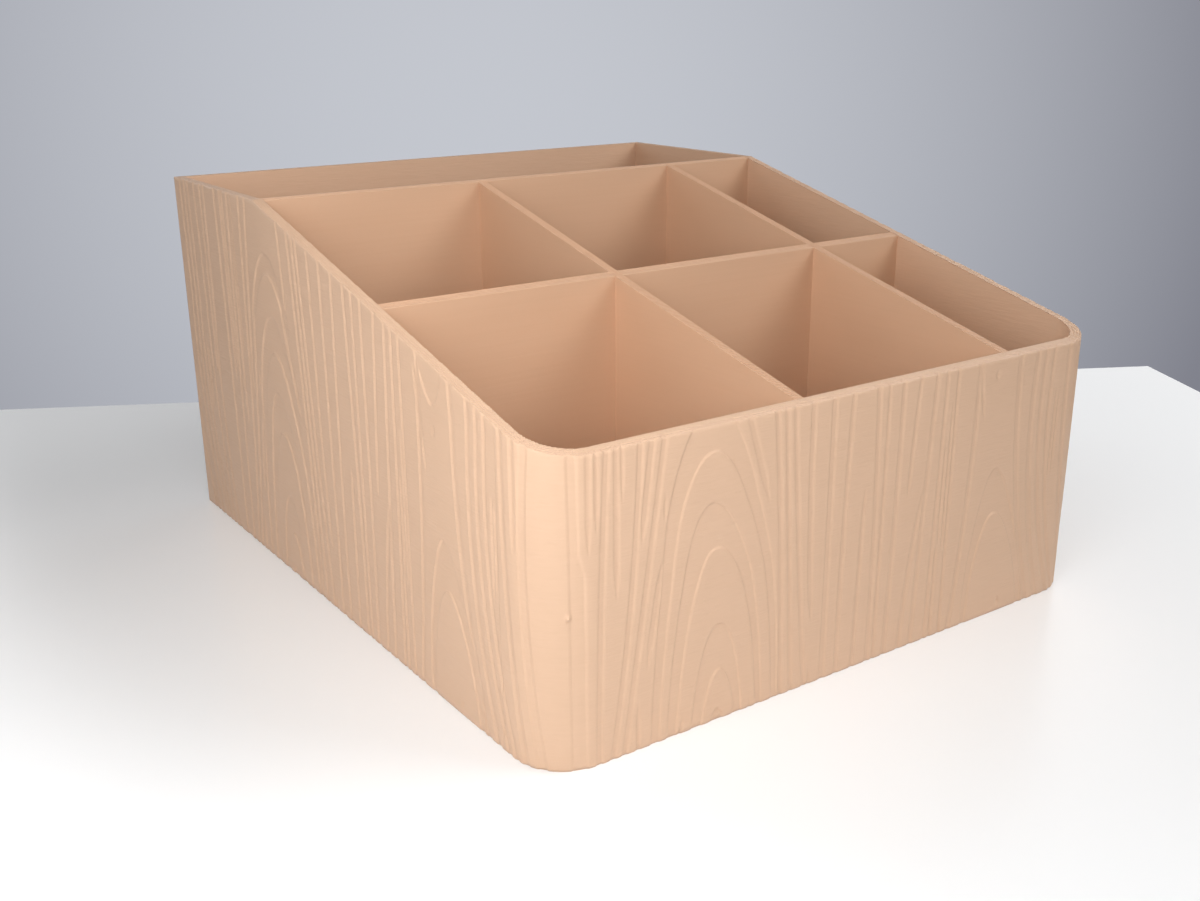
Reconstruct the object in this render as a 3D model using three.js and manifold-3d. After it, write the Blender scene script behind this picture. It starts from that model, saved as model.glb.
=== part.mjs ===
// Bathroom organizer: a box with a sloping rim, rounded front corners and seven open compartments.
// Millimetres. +Z is up, the front faces -Y, and the origin is under the middle of the box, on the table.

import * as THREE from 'three';
import { mergeVertices } from 'three/addons/utils/BufferGeometryUtils.js';
import Module from 'manifold-3d';

// Outside size of the box in plan.
const overallWidth = 200;
const overallDepth = 234;

// Clear widths of the outer columns of compartments. The middle column takes the rest.
const leftColumnClear = 75;
const rightColumnClear = 36.5;

// Clear depths of the front and rear rows of compartments. The middle row takes the rest.
const frontRowClear = 77.5;
const rearRowClear = 69.5;

// Heights of the rim above the table. The rim climbs from the front face to the rear divider.
const frontHeight = 80;
const rearHeight = 120;

// Thicknesses of the sheets.
const wallThickness = 3;
const dividerThickness = 3;
const floorThickness = 3;

// The rounded front corners: their outside radius, and how far the front wall runs on past the bend.
const cornerRadius = 15;
const cornerRun = 4;

// Joints: how far dividers are let into walls and floor, how far below the rim those housings stop,
// how far the floor's edge reaches into the walls, and how long the lap from front wall to side wall is.
const housingDepth = 1;
const housingStop = 8;
const floorRebate = 1;
const lapLength = 6;

// The gap left all round where one piece is let into another or meets it.
const fitClearance = 0.2;

// The plastic: a matte tan.
const plasticColour = 0xdcb291;
const plasticRoughness = 0.65;

// How finely a corner is faceted.
const cornerSegments = 8;

// Outer and inner faces of the box.
const outerRight = overallWidth / 2;
const outerLeft = -outerRight;
const outerRear = overallDepth / 2;
const outerFront = -outerRear;
const innerRight = outerRight - wallThickness;
const innerLeft = -innerRight;
const innerRear = outerRear - wallThickness;
const innerFront = -innerRear;

// How far a cutter reaches past what it cuts.
const overcut = wallThickness;

// Middle planes of the dividers.
const leftDividerX = innerLeft + leftColumnClear + dividerThickness / 2;
const rightDividerX = innerRight - rightColumnClear - dividerThickness / 2;
const middleDividerY = innerFront + frontRowClear + dividerThickness / 2;
const rearDividerY = innerRear - rearRowClear - dividerThickness / 2;
const longDividerPlaces = [leftDividerX, rightDividerX];

// Half the width of a housing that takes a divider, and the height of a divider's foot in the floor.
const housingHalfWidth = dividerThickness / 2 + fitClearance;
const dividerFoot = floorThickness - housingDepth + fitClearance;

// Each wall's share of a lap, the line where the front wall ends, and the height where that lap starts.
const lapThickness = (wallThickness - fitClearance) / 2;
const frontWallEnd = outerFront + cornerRadius + cornerRun;
const lapFoot = floorThickness + fitClearance;

const wasm = await Module();
wasm.setup();

// The height of the rim over the line y: a slope up to the rear divider, and level behind it.
function rimHeight(y) {
  const share = (y - outerFront) / (rearDividerY - outerFront);
  return frontHeight + (rearHeight - frontHeight) * THREE.MathUtils.clamp(share, 0, 1);
}

// A closed solid from a three.js geometry.
function solidFrom(geometry) {
  geometry.deleteAttribute('normal');
  geometry.deleteAttribute('uv');
  const merged = mergeVertices(geometry);
  const vertProperties = new Float32Array(merged.attributes.position.array);
  const triVerts = new Uint32Array(merged.index.array);
  return new wasm.Manifold(new wasm.Mesh({ numProp: 3, vertProperties, triVerts }));
}

// A rectangular block between two limits on each axis.
function block(x, y, z) {
  const geometry = new THREE.BoxGeometry(x[1] - x[0], y[1] - y[0], z[1] - z[0]);
  geometry.translate((x[0] + x[1]) / 2, (y[0] + y[1]) / 2, (z[0] + z[1]) / 2);
  return solidFrom(geometry);
}

// An upright block whose top follows the rim.
function panel(x, y, foot) {
  const bends = [rearDividerY, outerFront].filter((bend) => bend > y[0] && bend < y[1]);
  const top = [y[1], ...bends, y[0]].map((place) => new THREE.Vector2(place, rimHeight(place)));
  const profile = new THREE.Shape([new THREE.Vector2(y[0], foot), new THREE.Vector2(y[1], foot), ...top]);
  const geometry = new THREE.ExtrudeGeometry(profile, { depth: x[1] - x[0], bevelEnabled: false });
  const alongX = new THREE.Vector3(1, 0, 0);
  const alongY = new THREE.Vector3(0, 1, 0);
  const alongZ = new THREE.Vector3(0, 0, 1);
  geometry.applyMatrix4(new THREE.Matrix4().makeBasis(alongY, alongZ, alongX));
  geometry.translate(x[0], 0, 0);
  return solidFrom(geometry);
}

// A sheet between two heights from an outline drawn in plan.
function sheet(outline, z) {
  const options = { depth: z[1] - z[0], bevelEnabled: false, curveSegments: cornerSegments };
  const geometry = new THREE.ExtrudeGeometry(outline, options);
  geometry.translate(0, 0, z[0]);
  return solidFrom(geometry);
}

// The plan of the clear inside with its rounded front corners, grown outwards.
function insidePlan(growth) {
  const radius = cornerRadius - wallThickness + growth;
  const left = innerLeft - growth;
  const right = innerRight + growth;
  const front = innerFront - growth;
  const rear = innerRear + growth;
  const plan = new THREE.Shape();
  plan.moveTo(right, rear);
  plan.lineTo(left, rear);
  plan.absarc(left + radius, front + radius, radius, Math.PI, 1.5 * Math.PI);
  plan.absarc(right - radius, front + radius, radius, 1.5 * Math.PI, 2 * Math.PI);
  plan.closePath();
  return plan;
}

// The room that the floor takes at the foot of the walls.
function floorRoom() {
  return sheet(insidePlan(floorRebate + fitClearance), [-overcut, floorThickness + fitClearance]);
}

// The height where the housings for a divider's end stop, below the rim over the line y.
function housingTop(y) {
  return rimHeight(y) - housingStop;
}

// The housing in a wall, or in the rear divider, for the end of a divider.
function endHousing(x, y, place) {
  return block(x, y, [0, housingTop(place) + fitClearance]);
}

// A side wall, on the left (-1) or on the right (+1).
function sideWall(side) {
  const across = (from, to) => (side < 0 ? [-to, -from] : [from, to]);
  const outer = outerRight;
  const inner = innerRight;
  const top = rearHeight + overcut;
  const lapRoom = across(inner - overcut, outer - lapThickness);
  const frontLap = block(lapRoom, [outerFront, frontWallEnd + lapLength + fitClearance], [lapFoot, top]);
  const rearLap = block(lapRoom, [innerRear - fitClearance, outerRear + overcut], [-overcut, top]);
  const wall = panel(across(inner, outer), [frontWallEnd + fitClearance, outerRear], 0);
  const housings = [middleDividerY, rearDividerY].map((y) => (
    endHousing(across(inner - overcut, inner + housingDepth), [y - housingHalfWidth, y + housingHalfWidth], y)
  ));
  return [frontLap, rearLap, floorRoom(), ...housings].reduce((rest, cut) => rest.subtract(cut), wall);
}

// The front wall: one sheet bent round both front corners, with a tongue on each end for the lap.
function frontWall() {
  const innerRadius = cornerRadius - wallThickness;
  const bendY = outerFront + cornerRadius;
  const leftBendX = outerLeft + cornerRadius;
  const rightBendX = outerRight - cornerRadius;
  const plan = new THREE.Shape();
  plan.moveTo(outerLeft, frontWallEnd);
  plan.lineTo(outerLeft, bendY);
  plan.absarc(leftBendX, bendY, cornerRadius, Math.PI, 1.5 * Math.PI);
  plan.absarc(rightBendX, bendY, cornerRadius, 1.5 * Math.PI, 2 * Math.PI);
  plan.lineTo(outerRight, frontWallEnd);
  plan.lineTo(innerRight, frontWallEnd);
  plan.absarc(rightBendX, bendY, innerRadius, 2 * Math.PI, 1.5 * Math.PI, true);
  plan.absarc(leftBendX, bendY, innerRadius, 1.5 * Math.PI, Math.PI, true);
  plan.lineTo(innerLeft, frontWallEnd);
  plan.closePath();

  const tongueY = [bendY + fitClearance, frontWallEnd + lapLength];
  const tongueZ = [lapFoot + fitClearance, rearHeight];
  const leftTongue = block([innerLeft - lapThickness, innerLeft], tongueY, tongueZ);
  const rightTongue = block([innerRight, innerRight + lapThickness], tongueY, tongueZ);
  const wholeWidth = [outerLeft - overcut, outerRight + overcut];
  const underRim = panel(wholeWidth, [outerFront - overcut, rearDividerY], -overcut);
  const housings = longDividerPlaces.map((x) => (
    endHousing(
      [x - housingHalfWidth, x + housingHalfWidth],
      [innerFront - housingDepth, innerFront + overcut],
      innerFront,
    )
  ));
  const bent = sheet(plan, [0, rearHeight]).subtract(floorRoom());
  const whole = bent.add(leftTongue).add(rightTongue).intersect(underRim);
  return housings.reduce((rest, cut) => rest.subtract(cut), whole);
}

// The rear wall, let into the side walls at both ends.
function rearWall() {
  const end = outerRight - lapThickness - fitClearance;
  return panel([-end, end], [innerRear, outerRear], 0).subtract(floorRoom());
}

// The floor, with a groove for the foot of each divider.
function basePanel() {
  const grooveZ = [floorThickness - housingDepth, floorThickness + overcut];
  const acrossX = [outerLeft, outerRight];
  const alongY = [outerFront, rearDividerY];
  const crossGrooves = [middleDividerY, rearDividerY].map((y) => (
    block(acrossX, [y - housingHalfWidth, y + housingHalfWidth], grooveZ)
  ));
  const longGrooves = longDividerPlaces.map((x) => (
    block([x - housingHalfWidth, x + housingHalfWidth], alongY, grooveZ)
  ));
  const floor = sheet(insidePlan(floorRebate), [0, floorThickness]);
  return [...crossGrooves, ...longGrooves].reduce((rest, cut) => rest.subtract(cut), floor);
}

// A divider across the whole width. Its ends are tongues that sit in the side walls' housings.
function crossDivider(y) {
  const thickness = [y - dividerThickness / 2, y + dividerThickness / 2];
  const reach = innerRight + housingDepth - fitClearance;
  const shoulder = innerRight - fitClearance;
  const aboveTongue = [housingTop(y), rearHeight + overcut];
  const besideWall = [thickness[0] - overcut, thickness[1] + overcut];
  return panel([-reach, reach], thickness, dividerFoot)
    .subtract(block([shoulder, outerRight], besideWall, aboveTongue))
    .subtract(block([outerLeft, -shoulder], besideWall, aboveTongue));
}

// The height where the halves of a crossing meet.
function crossingHeight() {
  return (dividerFoot + rimHeight(middleDividerY)) / 2;
}

// The middle divider, slotted from above for the long dividers.
function middleDivider() {
  const slotZ = [crossingHeight() - fitClearance / 2, rearHeight];
  const slots = longDividerPlaces.map((x) => (
    block([x - housingHalfWidth, x + housingHalfWidth], [innerFront, rearDividerY], slotZ)
  ));
  return slots.reduce((rest, cut) => rest.subtract(cut), crossDivider(middleDividerY));
}

// The rear divider, with a housing in its front face for the end of each long divider.
function rearDivider() {
  const frontFace = rearDividerY - dividerThickness / 2;
  const housings = longDividerPlaces.map((x) => (
    endHousing(
      [x - housingHalfWidth, x + housingHalfWidth],
      [frontFace - overcut, frontFace + housingDepth],
      frontFace,
    )
  ));
  return housings.reduce((rest, cut) => rest.subtract(cut), crossDivider(rearDividerY));
}

// A divider from the front wall to the rear divider, slotted from below for the middle divider.
// It is made about its own middle plane.
function longDivider() {
  const halfThickness = dividerThickness / 2;
  const rearFace = rearDividerY - halfThickness;
  const slotY = [middleDividerY - housingHalfWidth, middleDividerY + housingHalfWidth];
  const beside = [-halfThickness - overcut, halfThickness + overcut];
  const aboveFrontTongue = [housingTop(innerFront), rearHeight];
  const aboveRearTongue = [housingTop(rearFace), rearHeight + overcut];
  const reach = [innerFront - housingDepth + fitClearance, rearFace + housingDepth - fitClearance];
  return panel([-halfThickness, halfThickness], reach, dividerFoot)
    .subtract(block(beside, [outerFront, innerFront + fitClearance], aboveFrontTongue))
    .subtract(block(beside, [rearFace - fitClearance, rearDividerY], aboveRearTongue))
    .subtract(block(beside, slotY, [-overcut, crossingHeight() + fitClearance / 2]));
}

// A named mesh, in its own plastic, from a finished solid.
function piece(name, solid) {
  const { vertProperties, triVerts } = solid.getMesh();
  const geometry = new THREE.BufferGeometry();
  geometry.setAttribute('position', new THREE.BufferAttribute(vertProperties, 3));
  geometry.setIndex(new THREE.BufferAttribute(triVerts, 1));
  const faceted = geometry.toNonIndexed();
  faceted.computeVertexNormals();
  const material = new THREE.MeshStandardMaterial({
    color: plasticColour,
    roughness: plasticRoughness,
    metalness: 0,
  });
  const mesh = new THREE.Mesh(faceted, material);
  mesh.name = name;
  return mesh;
}

const box = new THREE.Group();
box.add(piece('base_panel', basePanel()));
box.add(piece('front_wall', frontWall()));
box.add(piece('left_wall', sideWall(-1)));
box.add(piece('right_wall', sideWall(1)));
box.add(piece('rear_wall', rearWall()));

const dividers = new THREE.Group();
dividers.add(piece('rear_divider', rearDivider()));
dividers.add(piece('middle_divider', middleDivider()));

const leftDivider = piece('left_divider', longDivider());
leftDivider.position.x = leftDividerX;
dividers.add(leftDivider);

const rightDivider = piece('right_divider', longDivider());
rightDivider.position.x = rightDividerX;
dividers.add(rightDivider);

const organizer = new THREE.Group();
organizer.add(box);
organizer.add(dividers);

export default organizer;
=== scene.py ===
"""A bathroom organizer: a printed box with seven compartments and wood grain cut into its outer walls."""
import math
import bmesh
import bpy
import numpy as np
from mathutils import Matrix, Vector


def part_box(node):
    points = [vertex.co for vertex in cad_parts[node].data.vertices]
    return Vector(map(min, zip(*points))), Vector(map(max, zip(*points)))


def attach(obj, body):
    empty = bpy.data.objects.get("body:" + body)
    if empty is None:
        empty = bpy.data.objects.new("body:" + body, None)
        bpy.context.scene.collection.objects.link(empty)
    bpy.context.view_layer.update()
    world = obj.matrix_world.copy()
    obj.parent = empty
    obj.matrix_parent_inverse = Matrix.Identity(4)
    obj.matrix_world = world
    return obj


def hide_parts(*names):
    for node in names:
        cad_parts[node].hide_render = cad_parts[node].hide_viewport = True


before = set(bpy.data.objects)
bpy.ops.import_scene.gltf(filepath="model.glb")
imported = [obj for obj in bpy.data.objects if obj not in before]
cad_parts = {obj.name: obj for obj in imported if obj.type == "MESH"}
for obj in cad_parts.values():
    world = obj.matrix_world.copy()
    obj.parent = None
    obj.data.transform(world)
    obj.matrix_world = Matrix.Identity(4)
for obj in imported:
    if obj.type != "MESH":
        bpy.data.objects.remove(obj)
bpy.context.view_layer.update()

# Shapes are worked out in millimetres, and a mesh is scaled to metres as it is made
MM = 0.001


def node_box(node):
    """Lowest and highest corner of a CAD node, in millimetres."""
    low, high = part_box(node)
    return Vector(low) / MM, Vector(high) / MM


# Sizes that the frame gives
left_low, left_high = node_box("left_wall")
front_low, front_high = node_box("front_wall")
middle_low, middle_high = node_box("middle_divider")
rear_divider_low, rear_divider_high = node_box("rear_divider")
_, right_high = node_box("right_wall")
_, rear_high = node_box("rear_wall")
_, floor_high = node_box("base_panel")
outer_left = left_low.x
outer_right = right_high.x
outer_front = front_low.y
outer_rear = rear_high.y
wall_joint = left_low.y
wall_thickness = left_high.x - left_low.x
inner_left = outer_left + wall_thickness
inner_right = outer_right - wall_thickness
inner_front = outer_front + wall_thickness
inner_rear = outer_rear - wall_thickness
floor_top = floor_high.z
top_height = rear_high.z
slope_end = (rear_divider_low.y + rear_divider_high.y) / 2
rim_slope = (top_height - front_high.z) / (slope_end - front_high.y)
front_height = front_high.z - rim_slope * (front_high.y - outer_front)

# Height at which the long dividers and the middle divider lap over each other
lap_height = (floor_top + middle_high.z) / 2

# Sizes of the print
CORNER_RADIUS = 15.0
LAYER_HEIGHT = 0.2
EDGE_BEVEL = 0.12
FOOT_BEVEL = 0.25

# A height that falls short of a whole layer by this share of it still counts as that layer
LAYER_SLACK = 0.02

# Half the run of a riser between two steps on top of a cross divider
RISER_HALF = 0.02

# Top of the rim: lines of plastic laid along it, and small teeth on its inner edge, which curl up
RIM_BEADS = 3
BEAD_DEPTH = 0.1
TOOTH_LENGTH = 0.5
TOOTH_LIFT = 0.15

# Mesh of a wall: spacing of its sections, and points up its outer face and across its rim
COLUMN_PITCH = 0.28
FACE_POINTS = 109
RIM_POINTS = 13

# Points up a face crowd at the edges of arches: samples of its height, and what crossing an edge adds
HEIGHT_SAMPLES = 500
EDGE_TRAVEL = 5.0

# Points round each bend of the floor
BEND_POINTS = 24

# Distances round the outside, from the rear left corner by way of the front
bend_left = outer_left + CORNER_RADIUS
bend_right = outer_right - CORNER_RADIUS
bend_front = outer_front + CORNER_RADIUS
bend_run = CORNER_RADIUS * math.pi / 2
left_bend_start = outer_rear - bend_front
front_start = left_bend_start + bend_run
right_bend_start = front_start + bend_right - bend_left
right_start = right_bend_start + bend_run
rear_start = right_start + outer_rear - bend_front
outside_run = rear_start + outer_right - outer_left
left_joint = outer_rear - wall_joint
right_joint = right_start + wall_joint - bend_front

# Wood grain: the pattern repeats round the walls, and is measured from the middle of its tall cathedral
GRAIN_REPEAT = 195.6
TALL_CATHEDRAL_X = -49.4
SHORT_CATHEDRAL = 105.1
tall_cathedral = front_start + TALL_CATHEDRAL_X - bend_left

# Depth of the grain, half the width of its sloping edges, and where it fades out beside the rear corners
GRAIN_DEPTH = 0.3
GRAIN_EDGE = 0.36
GRAIN_FADE = 2.5

# Tall cathedral: its crown radius at the foot, how that grows with height, and its lean at some heights
TALL_CROWN = 3.2
TALL_CLIMB = 0.212
LEAN_HEIGHTS = (0.0, 25.0, 40.0, 50.0, 60.0, 75.0, 100.0)
LEANS = (1.5, 1.5, 1.3, 0.4, -0.6, -1.1, -1.4)

# Short cathedral: its widest height, half its height, its crown radius, and its lean at the foot and above
SHORT_MIDDLE = 64.5
SHORT_HALF = 67.0
SHORT_CROWN = 14.97
SHORT_LEAN = 3.55
SHORT_DRIFT = -0.083

# Arches: how far to the side their crowns reach, and the least rise and crown that they are given
ARCH_REACH = 34.0
LEAST_RISE = 0.09
LEAST_CROWN = 0.09

# Sunk bands of arches: radius and shift of the inner and the outer arch, and the height they show from
TALL_BANDS = (
    (0.0, 0.0, 3.9, 0.0, 0.0),
    (6.3, 0.5, 9.0, 0.0, 0.0),
    (13.45, 0.0, 16.0, -0.5, 0.0),
    (18.8, 0.0, 21.2, -0.2, 0.0),
    (24.0, -1.4, 25.3, -1.4, 86.0),
)
SHORT_BANDS = ((11.7, 0.3, 13.95, 0.3, 0.0),)

# Height of the waist and the head of grooves, length of their pointed tips, and a height above all rims
GROOVE_WAIST = 40.0
GROOVE_HEAD = 80.0
GROOVE_TIP = 7.0
HIGHEST = 1000.0

# Sunk grooves: place at the foot, waist and head, width, and the heights between which they show
GROOVES = (
    (7.0, 7.0, 7.0, 1.0, 0.0, 5.0),
    (12.5, 12.5, 12.5, 1.0, 0.0, 4.0),
    (34.8, 22.4, 10.2, 2.0, 56.0, 93.0),
    (18.2, 15.1, 11.9, 1.4, 86.0, HIGHEST),
    (23.3, 21.8, 18.9, 1.5, 0.0, HIGHEST),
    (27.1, 24.7, 22.1, 1.3, 0.0, HIGHEST),
    (31.9, 28.1, 25.1, 1.4, 0.0, HIGHEST),
    (35.4, 32.2, 31.3, 1.7, 18.5, HIGHEST),
    (33.5, 33.5, 33.5, 1.2, 0.0, 6.0),
    (38.5, 38.6, 38.6, 1.9, 0.0, HIGHEST),
    (43.8, 44.1, 45.4, 1.4, 0.0, HIGHEST),
    (50.0, 51.1, 52.0, 1.3, 0.0, 53.0),
    (55.9, 55.9, 54.6, 1.6, 0.0, HIGHEST),
    (58.3, 58.6, 58.7, 1.1, 0.0, HIGHEST),
    (62.5, 63.7, 64.1, 1.6, 0.0, HIGHEST),
    (66.0, 67.8, 70.7, 1.3, 46.0, HIGHEST),
    (73.4, 75.1, 77.2, 1.5, 0.0, HIGHEST),
    (68.5, 73.2, 83.0, 1.5, 0.0, 48.0),
    (79.1, 80.3, 81.2, 1.2, 0.0, HIGHEST),
    (81.7, 81.7, 81.7, 1.1, 0.0, 30.0),
    (82.4, 82.4, 82.4, 0.8, 28.0, 60.0),
    (83.9, 84.1, 84.2, 0.8, 26.0, 72.0),
    (85.5, 85.6, 85.6, 1.0, 0.0, HIGHEST),
    (89.5, 93.5, 94.8, 1.6, 0.0, HIGHEST),
    (108.3, 101.7, 95.0, 1.3, 62.0, 92.0),
    (125.0, 115.3, 112.2, 2.0, 0.0, HIGHEST),
    (129.8, 120.8, 120.0, 1.9, 0.0, HIGHEST),
    (134.8, 124.9, 124.0, 1.5, 0.0, HIGHEST),
    (138.0, 128.5, 127.7, 1.3, 0.0, HIGHEST),
    (130.0, 130.0, 130.0, 0.8, 38.0, 68.0),
    (131.4, 131.4, 131.4, 0.8, 40.0, 66.0),
    (141.4, 135.9, 134.5, 1.6, 0.0, HIGHEST),
    (138.9, 138.9, 138.9, 1.4, 54.0, HIGHEST),
    (146.0, 141.8, 142.4, 2.2, 0.0, HIGHEST),
    (154.6, 154.4, 153.8, 2.4, 44.0, HIGHEST),
    (155.1, 155.0, 154.9, 3.9, 0.0, 58.0),
    (157.8, 157.8, 157.8, 1.3, 55.0, HIGHEST),
    (160.0, 160.0, 160.0, 1.2, 60.0, HIGHEST),
    (160.4, 161.2, 162.9, 1.8, 0.0, HIGHEST),
    (165.6, 165.6, 165.6, 1.5, 42.0, HIGHEST),
    (167.2, 167.2, 167.2, 1.0, 66.0, HIGHEST),
    (164.4, 169.8, 172.4, 1.7, 0.0, HIGHEST),
    (167.0, 171.2, 175.8, 1.9, 54.0, HIGHEST),
    (167.9, 173.8, 179.5, 1.6, 0.0, 93.0),
    (172.0, 172.0, 172.0, 1.2, 0.0, 14.0),
    (171.2, 177.6, 184.0, 1.8, 21.0, 50.0),
    (179.0, 179.4, 180.0, 1.2, 58.0, 67.0),
    (184.9, 195.0, 205.1, 1.0, 0.0, 6.0),
)

# Small pits at the short cathedral: place, height and radius, and the depth of each
PITS = ((102.4, 75.5, 0.8), (111.6, 3.6, 0.8))
PIT_DEPTH = 0.5

# A blob that the print left on the left rounded corner: place, height, radius and how far it stands out
BLOB_PLACE = 152.7
BLOB_HEIGHT = 40.8
BLOB_RADIUS = 0.55
BLOB_SWELL = 0.95

# Colours, as linear red, green and blue
WALL_LIGHT = (0.715, 0.477, 0.325)
WALL_DARK = (0.685, 0.453, 0.303)
# The inside colours are the walls' plastic made darker and more saturated: painted shade of the shaded
# inside
INSIDE_SHADED_LIGHT = (0.71, 0.454, 0.295)
INSIDE_SHADED_DARK = (0.69, 0.435, 0.278)
TABLE_WHITE = (0.94, 0.95, 0.955)
BACKDROP_LIGHT = (0.55, 0.57, 0.62)
BACKDROP_DARK = (0.22, 0.225, 0.265)
SKYLIGHT = (0.96, 0.98, 1.0)

# Plastics: colours, scale of the layers or lines, their turn in degrees, their bump, and offset of the noise
PLASTICS = {
    "wall_plastic": (WALL_DARK, WALL_LIGHT, (140.0, 140.0, 1500.0), 0.0, 0.48, 1.7),
    # The divider and floor plastics take the inside colours, so they carry painted shade
    "divider_plastic": (INSIDE_SHADED_DARK, INSIDE_SHADED_LIGHT, (20.0, 20.0, 900.0), 0.0, 0.21, 5.3),
    "floor_plastic": (INSIDE_SHADED_DARK, INSIDE_SHADED_LIGHT, (1000.0, 14.0, 14.0), 45.0, 0.36, 9.1),
}

# Noise in all plastics: scales per metre, details, the range of its values in use, and the share of clouds
GRIT_SCALE = (900.0, 900.0, 1400.0)
CLOUD_SCALE = (22.0, 22.0, 30.0)
FINE_DETAIL = 2.0
CLOUD_DETAIL = 3.0
NOISE_ROUGHNESS = 0.6
NOISE_LOW = 0.3
NOISE_HIGH = 0.7
CLOUD_SHARE = 0.5

# Surface of all plastics: the range of its roughness, and the heights of its bumps in metres
LEAST_ROUGH = 0.46
MOST_ROUGH = 0.58
LAYER_RELIEF = 0.0002
GRIT_RELIEF = 0.00003
GRIT_STRENGTH = 0.35

# Lamps: direction round the object and above it in degrees, distance and width in metres, power in watts
LAMPS = {
    "left_lamp": (-60.0, 23.0, 0.38, 0.25, 0.52),
    "front_lamp": (-36.0, 30.0, 0.38, 0.25, 0.54),
    "fill_lamp": (50.0, 38.0, 1.2, 0.8, 7.8),
    "right_lamp": (110.0, 20.0, 1.2, 0.8, 2.6),
    "rear_lamp": (200.0, 27.0, 1.2, 0.8, 3.9),
}
LAMP_AIM = Vector((0.0, 0.0, 0.05))
SKY_STRENGTH = 0.04

# Table: its rear right corner and its size in metres, and how far it is turned, in degrees
TABLE_CORNER = Vector((0.355, 0.023, 0.0))
TABLE_SIZE = Vector((2.4, 1.4, 0.03))
TABLE_TURN = -28.5
TABLE_ROUGHNESS = 0.28
TABLE_GLOW = 0.14

# Backdrop: where it is brightest, in degrees, and the cosine of the angle at which it is darkest
BACKDROP_AZIMUTH = -29.9
BACKDROP_ELEVATION = 3.9
BACKDROP_SPREAD = 0.85

# Camera, in metres and degrees, and the focal length on a sensor as wide as the picture
CAMERA_PLACE = Vector((-0.24035, -0.34118, 0.17302))
CAMERA_AZIMUTH = math.radians(-34.901)
CAMERA_ELEVATION = math.radians(18.695)
CAMERA_ROLL = math.radians(-0.416)
SENSOR_WIDTH = 36.0
FOCAL_LENGTH = 38.86
NEAREST_SEEN = 0.01


def smooth_step(value):
    """Rises smoothly from 0 to 1 as value goes from 0 to 1."""
    inside = np.clip(value, 0.0, 1.0)
    return inside * inside * (3.0 - 2.0 * inside)


def rim_height(y):
    """Height of the rim plane at a depth y: it climbs from the front, then runs level."""
    return np.minimum(top_height, front_height + rim_slope * (y - outer_front))


def layer_count(height):
    """The whole number of printed layers up to a height."""
    return np.floor(height / LAYER_HEIGHT + LAYER_SLACK)


def layered(height):
    """A height brought down to a whole number of printed layers."""
    return layer_count(height) * LAYER_HEIGHT


def outside_points(run):
    """Points on the outer face and the angles of its outward directions, at distances round the walls."""
    left_turn = math.pi + (run - left_bend_start) / CORNER_RADIUS
    right_turn = 1.5 * math.pi + (run - right_bend_start) / CORNER_RADIUS
    stretches = [
        run < left_bend_start,
        run < front_start,
        run < right_bend_start,
        run < right_start,
        run < rear_start,
    ]
    x = np.select(stretches, [
        np.full_like(run, outer_left),
        bend_left + CORNER_RADIUS * np.cos(left_turn),
        bend_left + run - front_start,
        bend_right + CORNER_RADIUS * np.cos(right_turn),
        np.full_like(run, outer_right),
    ], outer_right - (run - rear_start))
    y = np.select(stretches, [
        outer_rear - run,
        bend_front + CORNER_RADIUS * np.sin(left_turn),
        np.full_like(run, outer_front),
        bend_front + CORNER_RADIUS * np.sin(right_turn),
        bend_front + run - right_start,
    ], outer_rear)
    facing = np.select(stretches, [
        np.full_like(run, math.pi),
        left_turn,
        np.full_like(run, 1.5 * math.pi),
        right_turn,
        np.full_like(run, 2 * math.pi),
    ], math.pi / 2)
    return x, y, facing


def around(place):
    """A distance along the pattern, brought to the nearest repeat."""
    return (place + GRAIN_REPEAT / 2) % GRAIN_REPEAT - GRAIN_REPEAT / 2


def sunk(distance):
    """1 inside an edge and 0 outside it, from the signed distance into it."""
    return smooth_step((distance + GRAIN_EDGE) / (2 * GRAIN_EDGE))


def inside_arch(across, crown, crown_rise, drift, radius):
    """How far inside the arch of a radius points lie, in millimetres, and below 0 outside it."""
    reach = np.exp(-(across / ARCH_REACH) ** 4)
    size = np.sqrt(across**2 + crown**2 * reach)
    climb = (crown * crown_rise * reach - across * drift) / size
    rise = np.maximum(np.hypot(across / size, climb), LEAST_RISE)
    return (radius - size) / rise


def arches(across, crown, crown_rise, drift, height, bands):
    """Nested arches about a line: sunk bands, whose crowns climb as the crown radius grows."""
    lowered = np.zeros_like(across)
    for inner, inner_shift, outer, outer_shift, lowest in bands:
        within = inside_arch(across - outer_shift, crown, crown_rise, drift, outer)
        hollow = inside_arch(across - inner_shift, crown, crown_rise, drift, inner)
        band = sunk(within) * sunk(-hollow) * smooth_step((height - lowest) / GROOVE_TIP + 1.0)
        lowered = np.maximum(lowered, band)
    return lowered


def tall_arches(place, height):
    """The tall cathedral, whose arches climb steadily and lean one way below and the other way above."""
    across = around(place) - np.interp(height, LEAN_HEIGHTS, LEANS)
    return arches(across, TALL_CROWN + TALL_CLIMB * height, TALL_CLIMB, 0.0, height, TALL_BANDS)


def short_arches(place, height):
    """The short cathedral, whose arches close again higher up."""
    from_middle = (height - SHORT_MIDDLE) / SHORT_HALF
    crown = np.maximum(SHORT_CROWN * (1.0 - from_middle**2), LEAST_CROWN)
    crown_rise = -2.0 * SHORT_CROWN * from_middle / SHORT_HALF
    across = around(place - SHORT_CATHEDRAL) - SHORT_LEAN - SHORT_DRIFT * height
    return arches(across, crown, crown_rise, SHORT_DRIFT, height, SHORT_BANDS)


def cathedrals(place, height):
    """Where the arches of the two cathedrals are sunk, from 0 to 1."""
    return np.maximum(tall_arches(place, height), short_arches(place, height))


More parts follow.
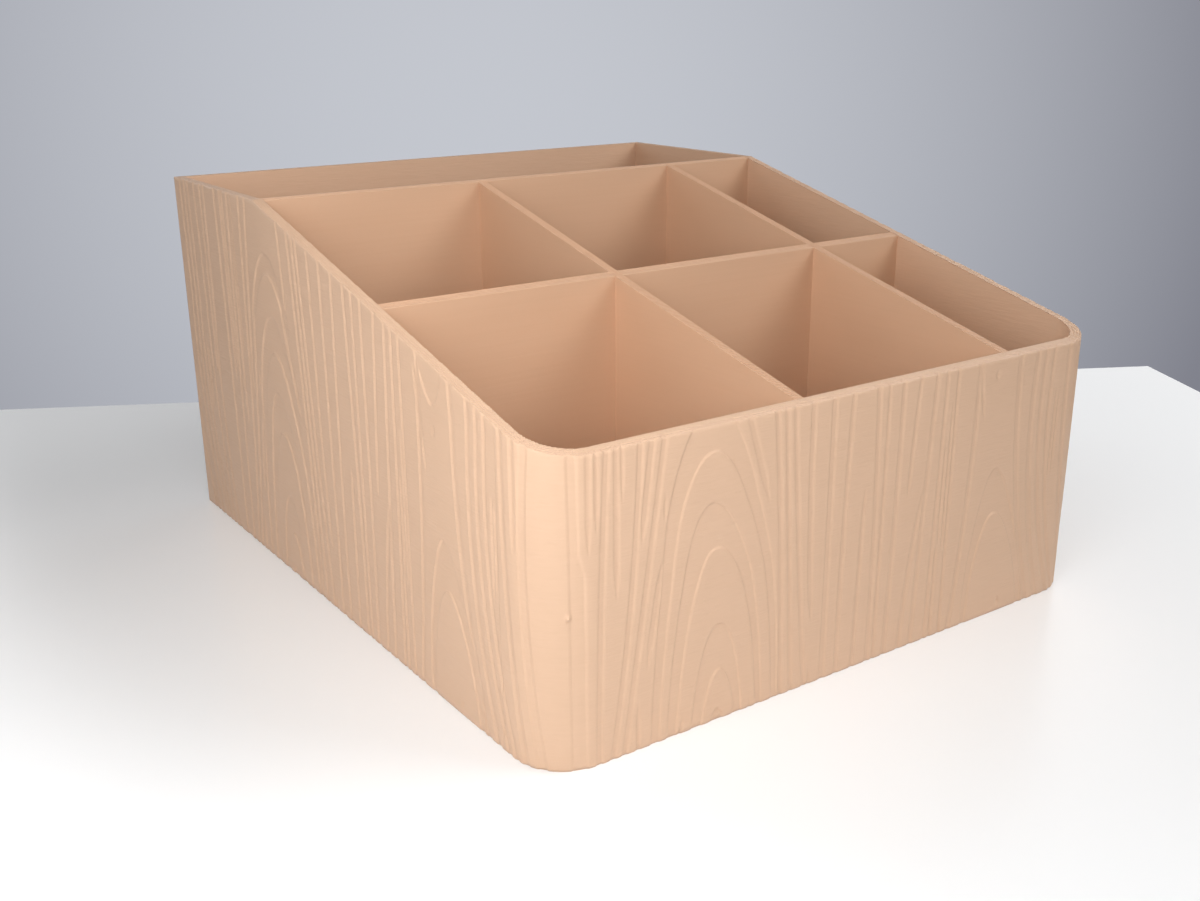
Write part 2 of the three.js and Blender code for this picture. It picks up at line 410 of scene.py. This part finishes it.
def groove_line(foot, waist, head, height):
    """Place of a groove at a height: a parabola through its foot, waist and head, and straight above."""
    share = np.clip(height, 0.0, GROOVE_HEAD) / GROOVE_WAIST
    bend = (foot - 2.0 * waist + head) / 2.0
    curve = foot + (waist - foot - bend) * share + bend * share**2
    return curve + (head - waist) / GROOVE_WAIST * np.maximum(0.0, height - GROOVE_HEAD)


def groove_band(place, height, groove):
    """One groove, which narrows to a point where it starts or ends on the wall."""
    foot, waist, head, width, low, high = groove
    below = (height - low) / GROOVE_TIP if low > 0.0 else 1.0
    above = (high - height) / GROOVE_TIP
    taper = np.clip(np.minimum(below, above), 0.0, 1.0)
    away = np.abs(around(place - groove_line(foot, waist, head, height)))
    return sunk(width / 2 * taper - away) * smooth_step(2.0 * taper)


def blob_share(run, height):
    """1 in the middle of the blob, which comes only once, and 0 away from it."""
    middle = tall_cathedral + BLOB_PLACE - GRAIN_REPEAT
    away = np.hypot(run - middle, height - BLOB_HEIGHT)
    return np.exp(-(away / BLOB_RADIUS) ** 2)


def grain_depth(run, height):
    """How deep the grain cuts into the outer face, in millimetres, at distances round it and heights."""
    place = run - tall_cathedral
    lowered = cathedrals(place, height)
    for groove in GROOVES:
        lowered = np.maximum(lowered, groove_band(place, height, groove))
    depth = GRAIN_DEPTH * lowered
    for pit_place, pit_height, pit_radius in PITS:
        away = np.hypot(around(place - pit_place), height - pit_height)
        depth = np.maximum(depth, PIT_DEPTH * np.exp(-(away / pit_radius) ** 2))
    to_corner = np.minimum(np.minimum(run, np.abs(run - rear_start)), outside_run - run)
    depth = depth * smooth_step(to_corner / GRAIN_FADE)
    return depth - BLOB_SWELL * blob_share(run, height)


def lofted(node, rings, plastic, smooth_points=0):
    """A closed mesh through a row of closed rings, capped at both ends, that stands for one CAD node.

    Faces between the first smooth points of each ring are shaded smoothly, and the rest are flat.
    """
    name = "printed_" + node
    count, size, _ = rings.shape
    index = np.arange(count * size).reshape(count, size)
    following = np.roll(index, -1, axis=1)
    sides = np.stack([index[:-1], index[1:], following[1:], following[:-1]], axis=-1)
    faces = sides.reshape(-1, 4).tolist()
    faces.append(index[0].tolist())
    faces.append(index[-1][::-1].tolist())
    mesh = bpy.data.meshes.new(name)
    mesh.from_pydata((rings.reshape(-1, 3) * MM).tolist(), [], faces)
    shape = bmesh.new()
    shape.from_mesh(mesh)
    if shape.calc_volume(signed=True) < 0.0:
        bmesh.ops.reverse_faces(shape, faces=shape.faces)
    shape.to_mesh(mesh)
    shape.free()
    smooth = np.zeros((count - 1, size), bool)
    smooth[:, :max(smooth_points - 1, 0)] = True
    mesh.polygons.foreach_set("use_smooth", np.append(smooth.ravel(), [False, False]))
    mesh.materials.append(plastics[plastic])
    piece = bpy.data.objects.new(name, mesh)
    bpy.context.scene.collection.objects.link(piece)
    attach(piece, "root")
    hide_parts(node)


def columns(start, end):
    """Evenly spaced distances round the walls from start to end."""
    return np.linspace(start, end, round((end - start) / COLUMN_PITCH) + 1)


def row_heights(run, top):
    """Heights of the points up the outer face, which crowd at the edges of the arches and the blob."""
    height = top[:, None] * np.linspace(0.0, 1.0, HEIGHT_SAMPLES)[None, :]
    all_run = np.repeat(run[:, None], HEIGHT_SAMPLES, axis=1)
    edges = cathedrals(all_run - tall_cathedral, height) + blob_share(all_run, height)
    crossed = np.cumsum(np.abs(np.diff(edges, axis=1, prepend=0.0)), axis=1)
    travel = height + EDGE_TRAVEL * (crossed - crossed[:, :1])
    rows = []
    for one_travel, one_height in zip(travel, height):
        rows.append(np.interp(np.linspace(0.0, one_travel[-1], FACE_POINTS), one_travel, one_height))
    return np.array(rows)


def grained_face(run):
    """Points up the outer face at distances round the walls, with the grain cut into it."""
    x, y, facing = outside_points(run)
    height = row_heights(run, layered(rim_height(y)) - EDGE_BEVEL)
    inward = grain_depth(np.repeat(run[:, None], FACE_POINTS, axis=1), height)
    inward[:, 0] += FOOT_BEVEL
    return np.stack([
        x[:, None] - inward * np.cos(facing)[:, None],
        y[:, None] - inward * np.sin(facing)[:, None],
        height,
    ], axis=-1)


def beaded(across):
    """How far the top of the rim dips between the lines of plastic laid along it."""
    return BEAD_DEPTH * (0.5 - 0.5 * np.cos(2.0 * math.pi * RIM_BEADS * across))


def stepped_rim(outer, inner):
    """Points across the rim, from the plan of its outer edge to that of its inner edge."""
    span = inner - outer
    length = np.linalg.norm(span, axis=-1)[:, None]
    share = np.linspace(0.0, 1.0, RIM_POINTS)[None, :]
    across = (EDGE_BEVEL + share * (length - 2.0 * EDGE_BEVEL)) / length
    rim = np.zeros((len(outer), RIM_POINTS, 3))
    rim[:, :, :2] = outer[:, None, :] + span[:, None, :] * across[:, :, None]
    rim[:, :, 2] = layered(rim_height(rim[:, :, 1])) - beaded(share)
    edge_height = rim_height(rim[:, -1, 1])
    tooth = (edge_height - layered(edge_height)) / LAYER_HEIGHT
    rim[:, -1, :2] += span / length * (EDGE_BEVEL + TOOTH_LENGTH * tooth)[:, None]
    rim[:, -1, 2] += TOOTH_LIFT * tooth
    return rim


def printed_wall(node, run, inner_x, inner_y):
    """A wall of sections at distances round it: up the outer face, across the rim, down the inside."""
    outer = grained_face(run)
    inner = np.stack([inner_x, inner_y], axis=-1)
    rim = stepped_rim(outer[:, -1, :2], inner)
    inner_top = np.column_stack([inner, layered(rim_height(inner_y)) - EDGE_BEVEL])
    inner_foot = np.column_stack([inner, np.zeros(len(run))])
    rings = np.concatenate([outer, rim, inner_top[:, None, :], inner_foot[:, None, :]], axis=1)
    lofted(node, rings, "wall_plastic", FACE_POINTS)


def side_wall(node, start, end, inside_x):
    """A side wall from its joint with the front wall to a mitred rear corner."""
    run = columns(start, end)
    _, y, _ = outside_points(run)
    shrink = (inner_rear - wall_joint) / (outer_rear - wall_joint)
    inner_y = wall_joint + (y - wall_joint) * shrink
    printed_wall(node, run, np.full_like(run, inside_x), inner_y)


def front_wall():
    """The front wall with its two rounded corners."""
    run = columns(left_joint, right_joint)
    x, y, facing = outside_points(run)
    inner_x = x - wall_thickness * np.cos(facing)
    inner_y = y - wall_thickness * np.sin(facing)
    printed_wall("front_wall", run, inner_x, inner_y)


def rear_wall():
    """The rear wall between its two mitred corners."""
    run = columns(rear_start, outside_run)
    shrink = (inner_right - inner_left) / (outer_right - outer_left)
    inner_x = inner_right - (run - rear_start) * shrink
    printed_wall("rear_wall", run, inner_x, np.full_like(run, inner_rear))


def inside_plan():
    """Outline of the floor inside the walls, with its two front corners rounded."""
    radius = CORNER_RADIUS - wall_thickness
    turn = np.linspace(0.0, math.pi / 2, BEND_POINTS)
    left = np.column_stack([bend_left - radius * np.cos(turn), bend_front - radius * np.sin(turn)])
    right = np.column_stack([bend_right + radius * np.sin(turn), bend_front - radius * np.cos(turn)])
    rear = np.array([[inner_right, inner_rear], [inner_left, inner_rear]])
    return np.concatenate([left, right, rear])


def floor_panel():
    """The floor, which fills the plan inside the walls."""
    plan = inside_plan()
    rings = [np.column_stack([plan, np.full(len(plan), height)]) for height in (0.0, floor_top)]
    lofted("base_panel", np.stack(rings), "floor_plastic")


def stair_line(start, end):
    """Points up the stepped top of a sheet that runs from y = start back to y = end."""
    first = int(layer_count(rim_height(start)))
    last = int(layer_count(rim_height(end)))
    points = [(start, first * LAYER_HEIGHT)]
    for level in range(first + 1, last + 1):
        y = outer_front + (level * LAYER_HEIGHT - front_height) / rim_slope
        points.append((y, (level - 1) * LAYER_HEIGHT))
        points.append((y, level * LAYER_HEIGHT))
    points.append((end, last * LAYER_HEIGHT))
    return points


def long_divider(node):
    """A divider from the front wall back to the rear divider, slotted from below over the middle divider."""
    low, high = node_box(node)
    start = inner_front - EDGE_BEVEL
    end = rear_divider_low.y
    foot = [
        (end, floor_top),
        (middle_high.y, floor_top),
        (middle_high.y, lap_height),
        (middle_low.y, lap_height),
        (middle_low.y, floor_top),
        (start, floor_top),
    ]
    stairs = stair_line(start, end)
    outline = np.array(stairs + foot)
    on_top = np.arange(len(outline)) < len(stairs)
    sections = (
        (low.x, EDGE_BEVEL),
        (low.x + EDGE_BEVEL, 0.0),
        (high.x - EDGE_BEVEL, 0.0),
        (high.x, EDGE_BEVEL),
    )
    rings = []
    for x, drop in sections:
        heights = outline[:, 1] - drop * on_top
        rings.append(np.column_stack([np.full(len(outline), x), outline[:, 0], heights]))
    lofted(node, np.stack(rings), "divider_plastic")


def cross_divider(node, notches):
    """A divider from wall to wall, with notches in its top where the long dividers pass through."""
    low, high = node_box(node)
    start = inner_left - EDGE_BEVEL
    end = inner_right + EDGE_BEVEL
    plan = [(start, "foot"), (start, "top")]
    for notch_low, notch_high in notches:
        plan += [(notch_low, "top"), (notch_low, "lap"), (notch_high, "lap"), (notch_high, "top")]
    plan += [(end, "top"), (end, "foot")]
    stairs = stair_line(low.y, high.y)
    sections = [(low.y, stairs[0][1] - EDGE_BEVEL), (low.y + EDGE_BEVEL, stairs[0][1])]
    for (y, below), (_, above) in zip(stairs[1:-1:2], stairs[2:-1:2]):
        sections += [(y - RISER_HALF, below), (y + RISER_HALF, above)]
    sections += [(high.y - EDGE_BEVEL, stairs[-1][1]), (high.y, stairs[-1][1] - EDGE_BEVEL)]
    rings = []
    for y, top in sections:
        height = {"foot": floor_top, "top": top, "lap": lap_height}
        rings.append([(x, y, height[level]) for x, level in plan])
    lofted(node, np.array(rings), "divider_plastic")


def add_node(tree, kind, **inputs):
    """A shader node with some of its input sockets set."""
    node = tree.nodes.new(kind)
    for socket, value in inputs.items():
        node.inputs[socket.replace("_", " ")].default_value = value
    return node


def noise(tree, place, scale, detail, offset):
    """A noise texture on coordinates that are stretched and shifted first."""
    mapping = add_node(tree, "ShaderNodeMapping", Scale=scale, Location=(offset, offset, offset))
    texture = add_node(tree, "ShaderNodeTexNoise", Scale=1.0, Detail=detail, Roughness=NOISE_ROUGHNESS)
    tree.links.new(place, mapping.inputs["Vector"])
    tree.links.new(mapping.outputs["Vector"], texture.inputs["Vector"])
    return texture.outputs["Fac"]


def colour_ramp(tree, factor, low, high, dark, light):
    """Goes from a dark to a light colour as the factor goes from low to high."""
    ramp = tree.nodes.new("ShaderNodeValToRGB")
    ramp.color_ramp.elements[0].position = low
    ramp.color_ramp.elements[1].position = high
    ramp.color_ramp.elements[0].color = (*dark, 1.0)
    ramp.color_ramp.elements[1].color = (*light, 1.0)
    tree.links.new(factor, ramp.inputs["Fac"])
    return ramp.outputs["Color"]


def remap(tree, value, low, high, to_low, to_high):
    """A value carried from one range to another."""
    node = add_node(tree, "ShaderNodeMapRange", From_Min=low, From_Max=high, To_Min=to_low, To_Max=to_high)
    tree.links.new(value, node.inputs["Value"])
    return node.outputs["Result"]


def add_bump(tree, height, distance, strength, below=None):
    """A bump from a height, on top of another bump if there is one."""
    bump = add_node(tree, "ShaderNodeBump", Distance=distance, Strength=strength)
    tree.links.new(height, bump.inputs["Height"])
    if below is not None:
        tree.links.new(below, bump.inputs["Normal"])
    return bump.outputs["Normal"]


def printed_plastic(name, dark, light, layer_scale, layer_turn, layer_strength, offset):
    """Matt printed plastic: fine bands where layers or lines of plastic lie, faint clouds and fine grit."""
    material = bpy.data.materials.new(name)
    material.use_nodes = True
    tree = material.node_tree
    shader = tree.nodes["Principled BSDF"]
    coordinates = tree.nodes.new("ShaderNodeTexCoord").outputs["Object"]
    turn = add_node(tree, "ShaderNodeMapping", Rotation=(0.0, 0.0, math.radians(layer_turn)))
    tree.links.new(coordinates, turn.inputs["Vector"])
    layers = noise(tree, turn.outputs["Vector"], layer_scale, FINE_DETAIL, offset)
    grit = noise(tree, coordinates, GRIT_SCALE, FINE_DETAIL, offset)
    clouds = noise(tree, coordinates, CLOUD_SCALE, CLOUD_DETAIL, offset)
    banded = colour_ramp(tree, layers, NOISE_LOW, NOISE_HIGH, dark, light)
    clouded = colour_ramp(tree, clouds, NOISE_LOW, NOISE_HIGH, dark, light)
    mix = tree.nodes.new("ShaderNodeMix")
    mix.data_type = "RGBA"
    mix.inputs["Factor"].default_value = CLOUD_SHARE
    tree.links.new(banded, mix.inputs["A"])
    tree.links.new(clouded, mix.inputs["B"])
    tree.links.new(mix.outputs["Result"], shader.inputs["Base Color"])
    roughness = remap(tree, layers, NOISE_LOW, NOISE_HIGH, LEAST_ROUGH, MOST_ROUGH)
    tree.links.new(roughness, shader.inputs["Roughness"])
    banding = add_bump(tree, layers, LAYER_RELIEF, layer_strength)
    surface = add_bump(tree, grit, GRIT_RELIEF, GRIT_STRENGTH, banding)
    tree.links.new(surface, shader.inputs["Normal"])
    return material


def sees_backdrop(tree):
    """1 for the rays of the camera, of gloss and of glass, which show the backdrop, and 0 for the rest."""
    path = tree.nodes.new("ShaderNodeLightPath")
    shown = path.outputs["Is Camera Ray"]
    for ray in ("Is Glossy Ray", "Is Transmission Ray"):
        either = tree.nodes.new("ShaderNodeMath")
        either.operation = "MAXIMUM"
        tree.links.new(shown, either.inputs[0])
        tree.links.new(path.outputs[ray], either.inputs[1])
        shown = either.outputs["Value"]
    return shown


def table_material():
    """A white table with a soft gloss, which is seen a little lighter than the lamps leave it."""
    material = bpy.data.materials.new("table")
    material.use_nodes = True
    tree = material.node_tree
    shader = tree.nodes["Principled BSDF"]
    shader.inputs["Base Color"].default_value = (*TABLE_WHITE, 1.0)
    shader.inputs["Roughness"].default_value = TABLE_ROUGHNESS
    glow = add_node(tree, "ShaderNodeEmission", Color=(*TABLE_WHITE, 1.0), Strength=1.0)
    share = tree.nodes.new("ShaderNodeMath")
    share.operation = "MULTIPLY"
    share.inputs[1].default_value = TABLE_GLOW
    tree.links.new(sees_backdrop(tree), share.inputs[0])
    mix = tree.nodes.new("ShaderNodeMixShader")
    tree.links.new(share.outputs["Value"], mix.inputs["Fac"])
    tree.links.new(shader.outputs["BSDF"], mix.inputs[1])
    tree.links.new(glow.outputs["Emission"], mix.inputs[2])
    tree.links.new(mix.outputs["Shader"], tree.nodes["Material Output"].inputs["Surface"])
    return material


def table():
    """The table that the object stands on, near one of its corners."""
    bpy.ops.mesh.primitive_cube_add(size=1.0)
    surface = bpy.context.object
    surface.name = "table"
    turn = Matrix.Rotation(math.radians(TABLE_TURN), 4, "Z")
    middle = TABLE_CORNER - turn @ (TABLE_SIZE / 2)
    size = Matrix.Diagonal((*TABLE_SIZE, 1.0))
    surface.matrix_world = Matrix.Translation(middle) @ turn @ size
    surface.data.materials.append(table_material())


def facing_back(azimuth, elevation):
    """The direction from the object to something that looks at it from an azimuth and an elevation."""
    level = math.cos(elevation)
    return Vector((math.sin(azimuth) * level, -math.cos(azimuth) * level, math.sin(elevation)))


def backdrop_colour(tree):
    """The grey wall behind the table, which darkens away from where it is brightest."""
    brightest = -facing_back(math.radians(BACKDROP_AZIMUTH), math.radians(BACKDROP_ELEVATION))
    nearness = tree.nodes.new("ShaderNodeVectorMath")
    nearness.operation = "DOT_PRODUCT"
    nearness.inputs[1].default_value = brightest
    direction = tree.nodes.new("ShaderNodeTexCoord").outputs["Generated"]
    tree.links.new(direction, nearness.inputs[0])
    return colour_ramp(tree, nearness.outputs["Value"], BACKDROP_SPREAD, 1.0, BACKDROP_DARK, BACKDROP_LIGHT)


def backdrop():
    """Soft light from all round, and the grey wall that the camera and gloss see."""
    world = bpy.data.worlds.new("backdrop")
    world.use_nodes = True
    bpy.context.scene.world = world
    tree = world.node_tree
    light = tree.nodes["Background"]
    light.inputs["Color"].default_value = (*SKYLIGHT, 1.0)
    light.inputs["Strength"].default_value = SKY_STRENGTH
    seen = add_node(tree, "ShaderNodeBackground", Strength=1.0)
    tree.links.new(backdrop_colour(tree), seen.inputs["Color"])
    mix = tree.nodes.new("ShaderNodeMixShader")
    tree.links.new(sees_backdrop(tree), mix.inputs["Fac"])
    tree.links.new(light.outputs["Background"], mix.inputs[1])
    tree.links.new(seen.outputs["Background"], mix.inputs[2])
    tree.links.new(mix.outputs["Shader"], tree.nodes["World Output"].inputs["Surface"])


def soft_lamp(name, azimuth, elevation, distance, size, power):
    """A square lamp that faces the middle of the object."""
    data = bpy.data.lights.new(name, "AREA")
    data.shape = "SQUARE"
    data.size = size
    data.energy = power
    lamp = bpy.data.objects.new(name, data)
    away = facing_back(math.radians(azimuth), math.radians(elevation))
    lamp.location = LAMP_AIM + away * distance
    lamp.rotation_euler = away.to_track_quat("Z", "Y").to_euler()
    lamp.visible_camera = False
    bpy.context.scene.collection.objects.link(lamp)


def camera():
    """The camera at the place and angle from which the object is seen."""
    data = bpy.data.cameras.new("camera")
    data.sensor_fit = "HORIZONTAL"
    data.sensor_width = SENSOR_WIDTH
    data.lens = FOCAL_LENGTH
    data.clip_start = NEAREST_SEEN
    back = facing_back(CAMERA_AZIMUTH, CAMERA_ELEVATION)
    side = Vector((math.cos(CAMERA_AZIMUTH), math.sin(CAMERA_AZIMUTH), 0.0))
    up = back.cross(side)
    right = side * math.cos(CAMERA_ROLL) + up * math.sin(CAMERA_ROLL)
    top = up * math.cos(CAMERA_ROLL) - side * math.sin(CAMERA_ROLL)
    seen_from = bpy.data.objects.new("camera", data)
    turn = Matrix((right, top, back)).transposed().to_4x4()
    seen_from.matrix_world = Matrix.Translation(CAMERA_PLACE) @ turn
    bpy.context.scene.collection.objects.link(seen_from)
    bpy.context.scene.camera = seen_from


# The stage
camera()
table()
backdrop()
for lamp_name, settings in LAMPS.items():
    soft_lamp(lamp_name, *settings)
bpy.context.scene.view_settings.view_transform = "Standard"

# The object
plastics = {name: printed_plastic(name, *settings) for name, settings in PLASTICS.items()}
side_wall("left_wall", 0.0, left_joint, inner_left)
front_wall()
side_wall("right_wall", right_joint, rear_start, inner_right)
rear_wall()
floor_panel()
crossings = []
for divider in ("left_divider", "right_divider"):
    long_divider(divider)
    divider_low, divider_high = node_box(divider)
    crossings.append((divider_low.x, divider_high.x))
cross_divider("middle_divider", crossings)
cross_divider("rear_divider", [])
